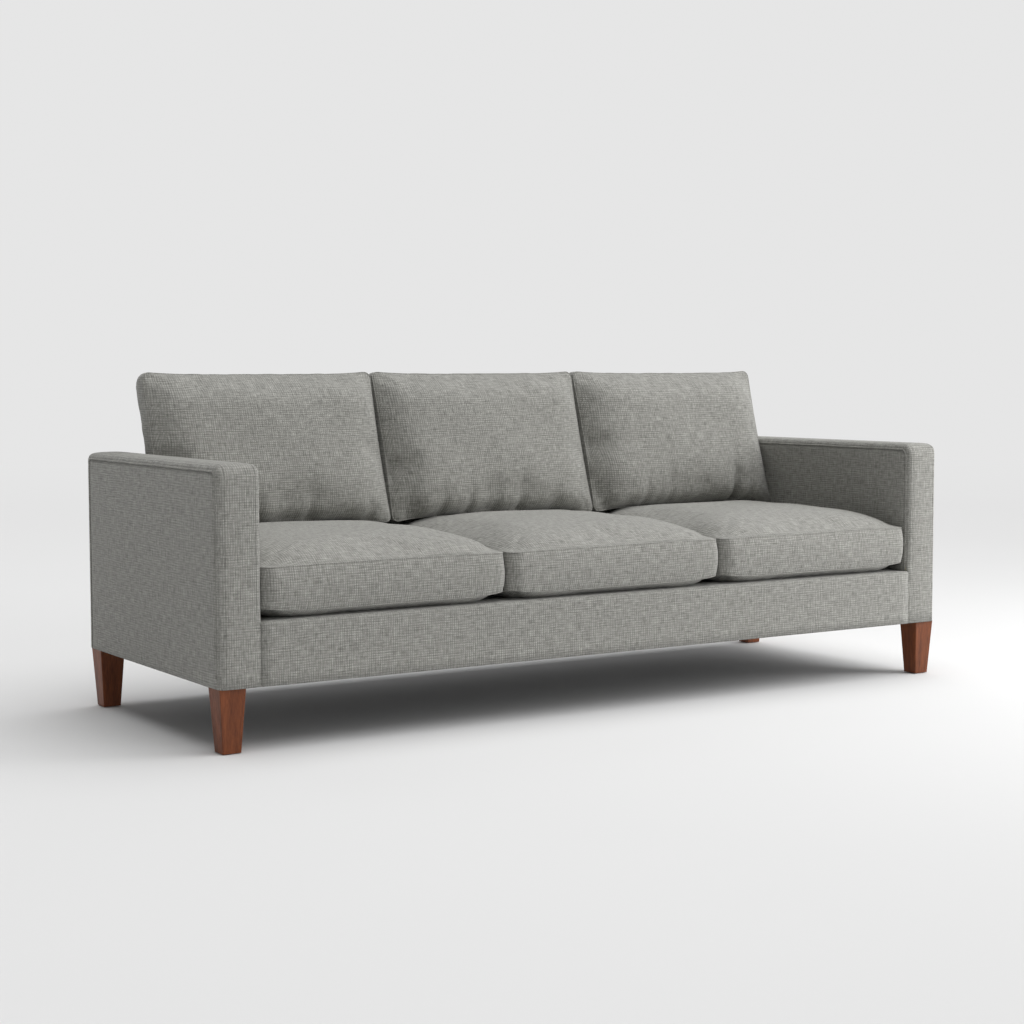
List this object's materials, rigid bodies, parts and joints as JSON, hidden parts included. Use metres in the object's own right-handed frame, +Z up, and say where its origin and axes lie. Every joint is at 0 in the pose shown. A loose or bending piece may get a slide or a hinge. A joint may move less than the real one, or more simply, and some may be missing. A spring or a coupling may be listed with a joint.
{
  "type": "three-seat sofa",
  "caption": "Track-arm sofa with loose boxed seat and back cushions over a sprung timber frame on tapered square wooden legs.",
  "frame": {"origin": "on the floor, under the middle of the sofa's footprint", "axes": "+X to the right of someone who stands in front and faces the sofa, +Y from the front to the back, +Z up. Left and right in names are -X and +X."},
  "size_m": [2.2, 0.82, 0.8547],
  "materials": {
    "upholstery": "mid-grey slubby linen-look weave",
    "deck_cloth": "plain dark grey deck cloth",
    "dust_cloth": "black non-woven dust cloth",
    "webbing": "black elastic webbing",
    "felt": "grey needle felt",
    "foam": "open-cell polyurethane foam",
    "fibre_filling": "white fibre filling",
    "leg_wood": "satin walnut-brown stain",
    "frame_timber": "sawn softwood",
    "plywood": "birch plywood",
    "zinc_steel": "zinc plated",
    "spring_steel": "dark oiled spring steel",
    "glide_plastic": "dark brown nylon"
  },
  "bodies": {
    "frame": {"arm_band_left": "upholstery", "arm_band_right": "upholstery", "arm_base_rail_left": "frame_timber", "arm_base_rail_right": "frame_timber", "arm_front_post_left": "frame_timber", "arm_front_post_right": "frame_timber", "arm_inner_board_left": "plywood", "arm_inner_board_right": "plywood", "arm_inner_cover_left": "upholstery", "arm_inner_cover_right": "upholstery", "arm_inner_pad_left": "foam", "arm_inner_pad_right": "foam", "arm_outer_board_left": "plywood", "arm_outer_board_right": "plywood", "arm_outer_cover_left": "upholstery", "arm_outer_cover_right": "upholstery", "arm_rear_post_left": "frame_timber", "arm_rear_post_right": "frame_timber", "arm_top_rail_left": "frame_timber", "arm_top_rail_right": "frame_timber", "arm_wrap_pad_left": "foam", "arm_wrap_pad_right": "foam", "back_inner_cover": "upholstery", "back_outer_cover": "upholstery", "back_pad": "foam", "back_rail": "frame_timber", "back_ribs": "plywood", "back_top_cover": "upholstery", "back_top_rail": "frame_timber", "back_webbing": "webbing", "corner_blocks": "frame_timber", "deck_cover": "deck_cloth", "deck_pad": "felt", "dust_cover": "dust_cloth", "front_rail": "frame_timber", "front_rail_cover": "upholstery", "front_rail_pad": "foam", "leg_bolts": "zinc_steel", "leg_front_left": "leg_wood", "leg_front_right": "leg_wood", "leg_glides": "glide_plastic", "leg_rear_left": "leg_wood", "leg_rear_right": "leg_wood", "leg_tee_nuts": "zinc_steel", "rear_seat_rail": "frame_timber", "seat_springs": "spring_steel", "seat_ties": "frame_timber", "spring_clips": "zinc_steel"},
    "seat_cushion_left": {"seat_cushion_core_left": "foam", "seat_cushion_cover_left": "upholstery"},
    "seat_cushion_middle": {"seat_cushion_core_middle": "foam", "seat_cushion_cover_middle": "upholstery"},
    "seat_cushion_right": {"seat_cushion_core_right": "foam", "seat_cushion_cover_right": "upholstery"},
    "back_cushion_left": {"back_cushion_cover_left": "upholstery", "back_cushion_filling_left": "fibre_filling"},
    "back_cushion_middle": {"back_cushion_cover_middle": "upholstery", "back_cushion_filling_middle": "fibre_filling"},
    "back_cushion_right": {"back_cushion_cover_right": "upholstery", "back_cushion_filling_right": "fibre_filling"}
  },
  "joints": [
    {"name": "seat_cushion_left_pull", "type": "slide", "parent": "frame", "child": "seat_cushion_left", "axis": [0, -1, 0], "range_m": [0, 0.3]},
    {"name": "seat_cushion_middle_pull", "type": "slide", "parent": "frame", "child": "seat_cushion_middle", "axis": [0, -1, 0], "range_m": [0, 0.3]},
    {"name": "seat_cushion_right_pull", "type": "slide", "parent": "frame", "child": "seat_cushion_right", "axis": [0, -1, 0], "range_m": [0, 0.3]},
    {"name": "back_cushion_left_lift", "type": "slide", "parent": "frame", "child": "back_cushion_left", "axis": [0, 0.2807, 0.9598], "range_m": [0, 0.3]},
    {"name": "back_cushion_middle_lift", "type": "slide", "parent": "frame", "child": "back_cushion_middle", "axis": [0, 0.2807, 0.9598], "range_m": [0, 0.3]},
    {"name": "back_cushion_right_lift", "type": "slide", "parent": "frame", "child": "back_cushion_right", "axis": [0, 0.2807, 0.9598], "range_m": [0, 0.3]}
  ]
}
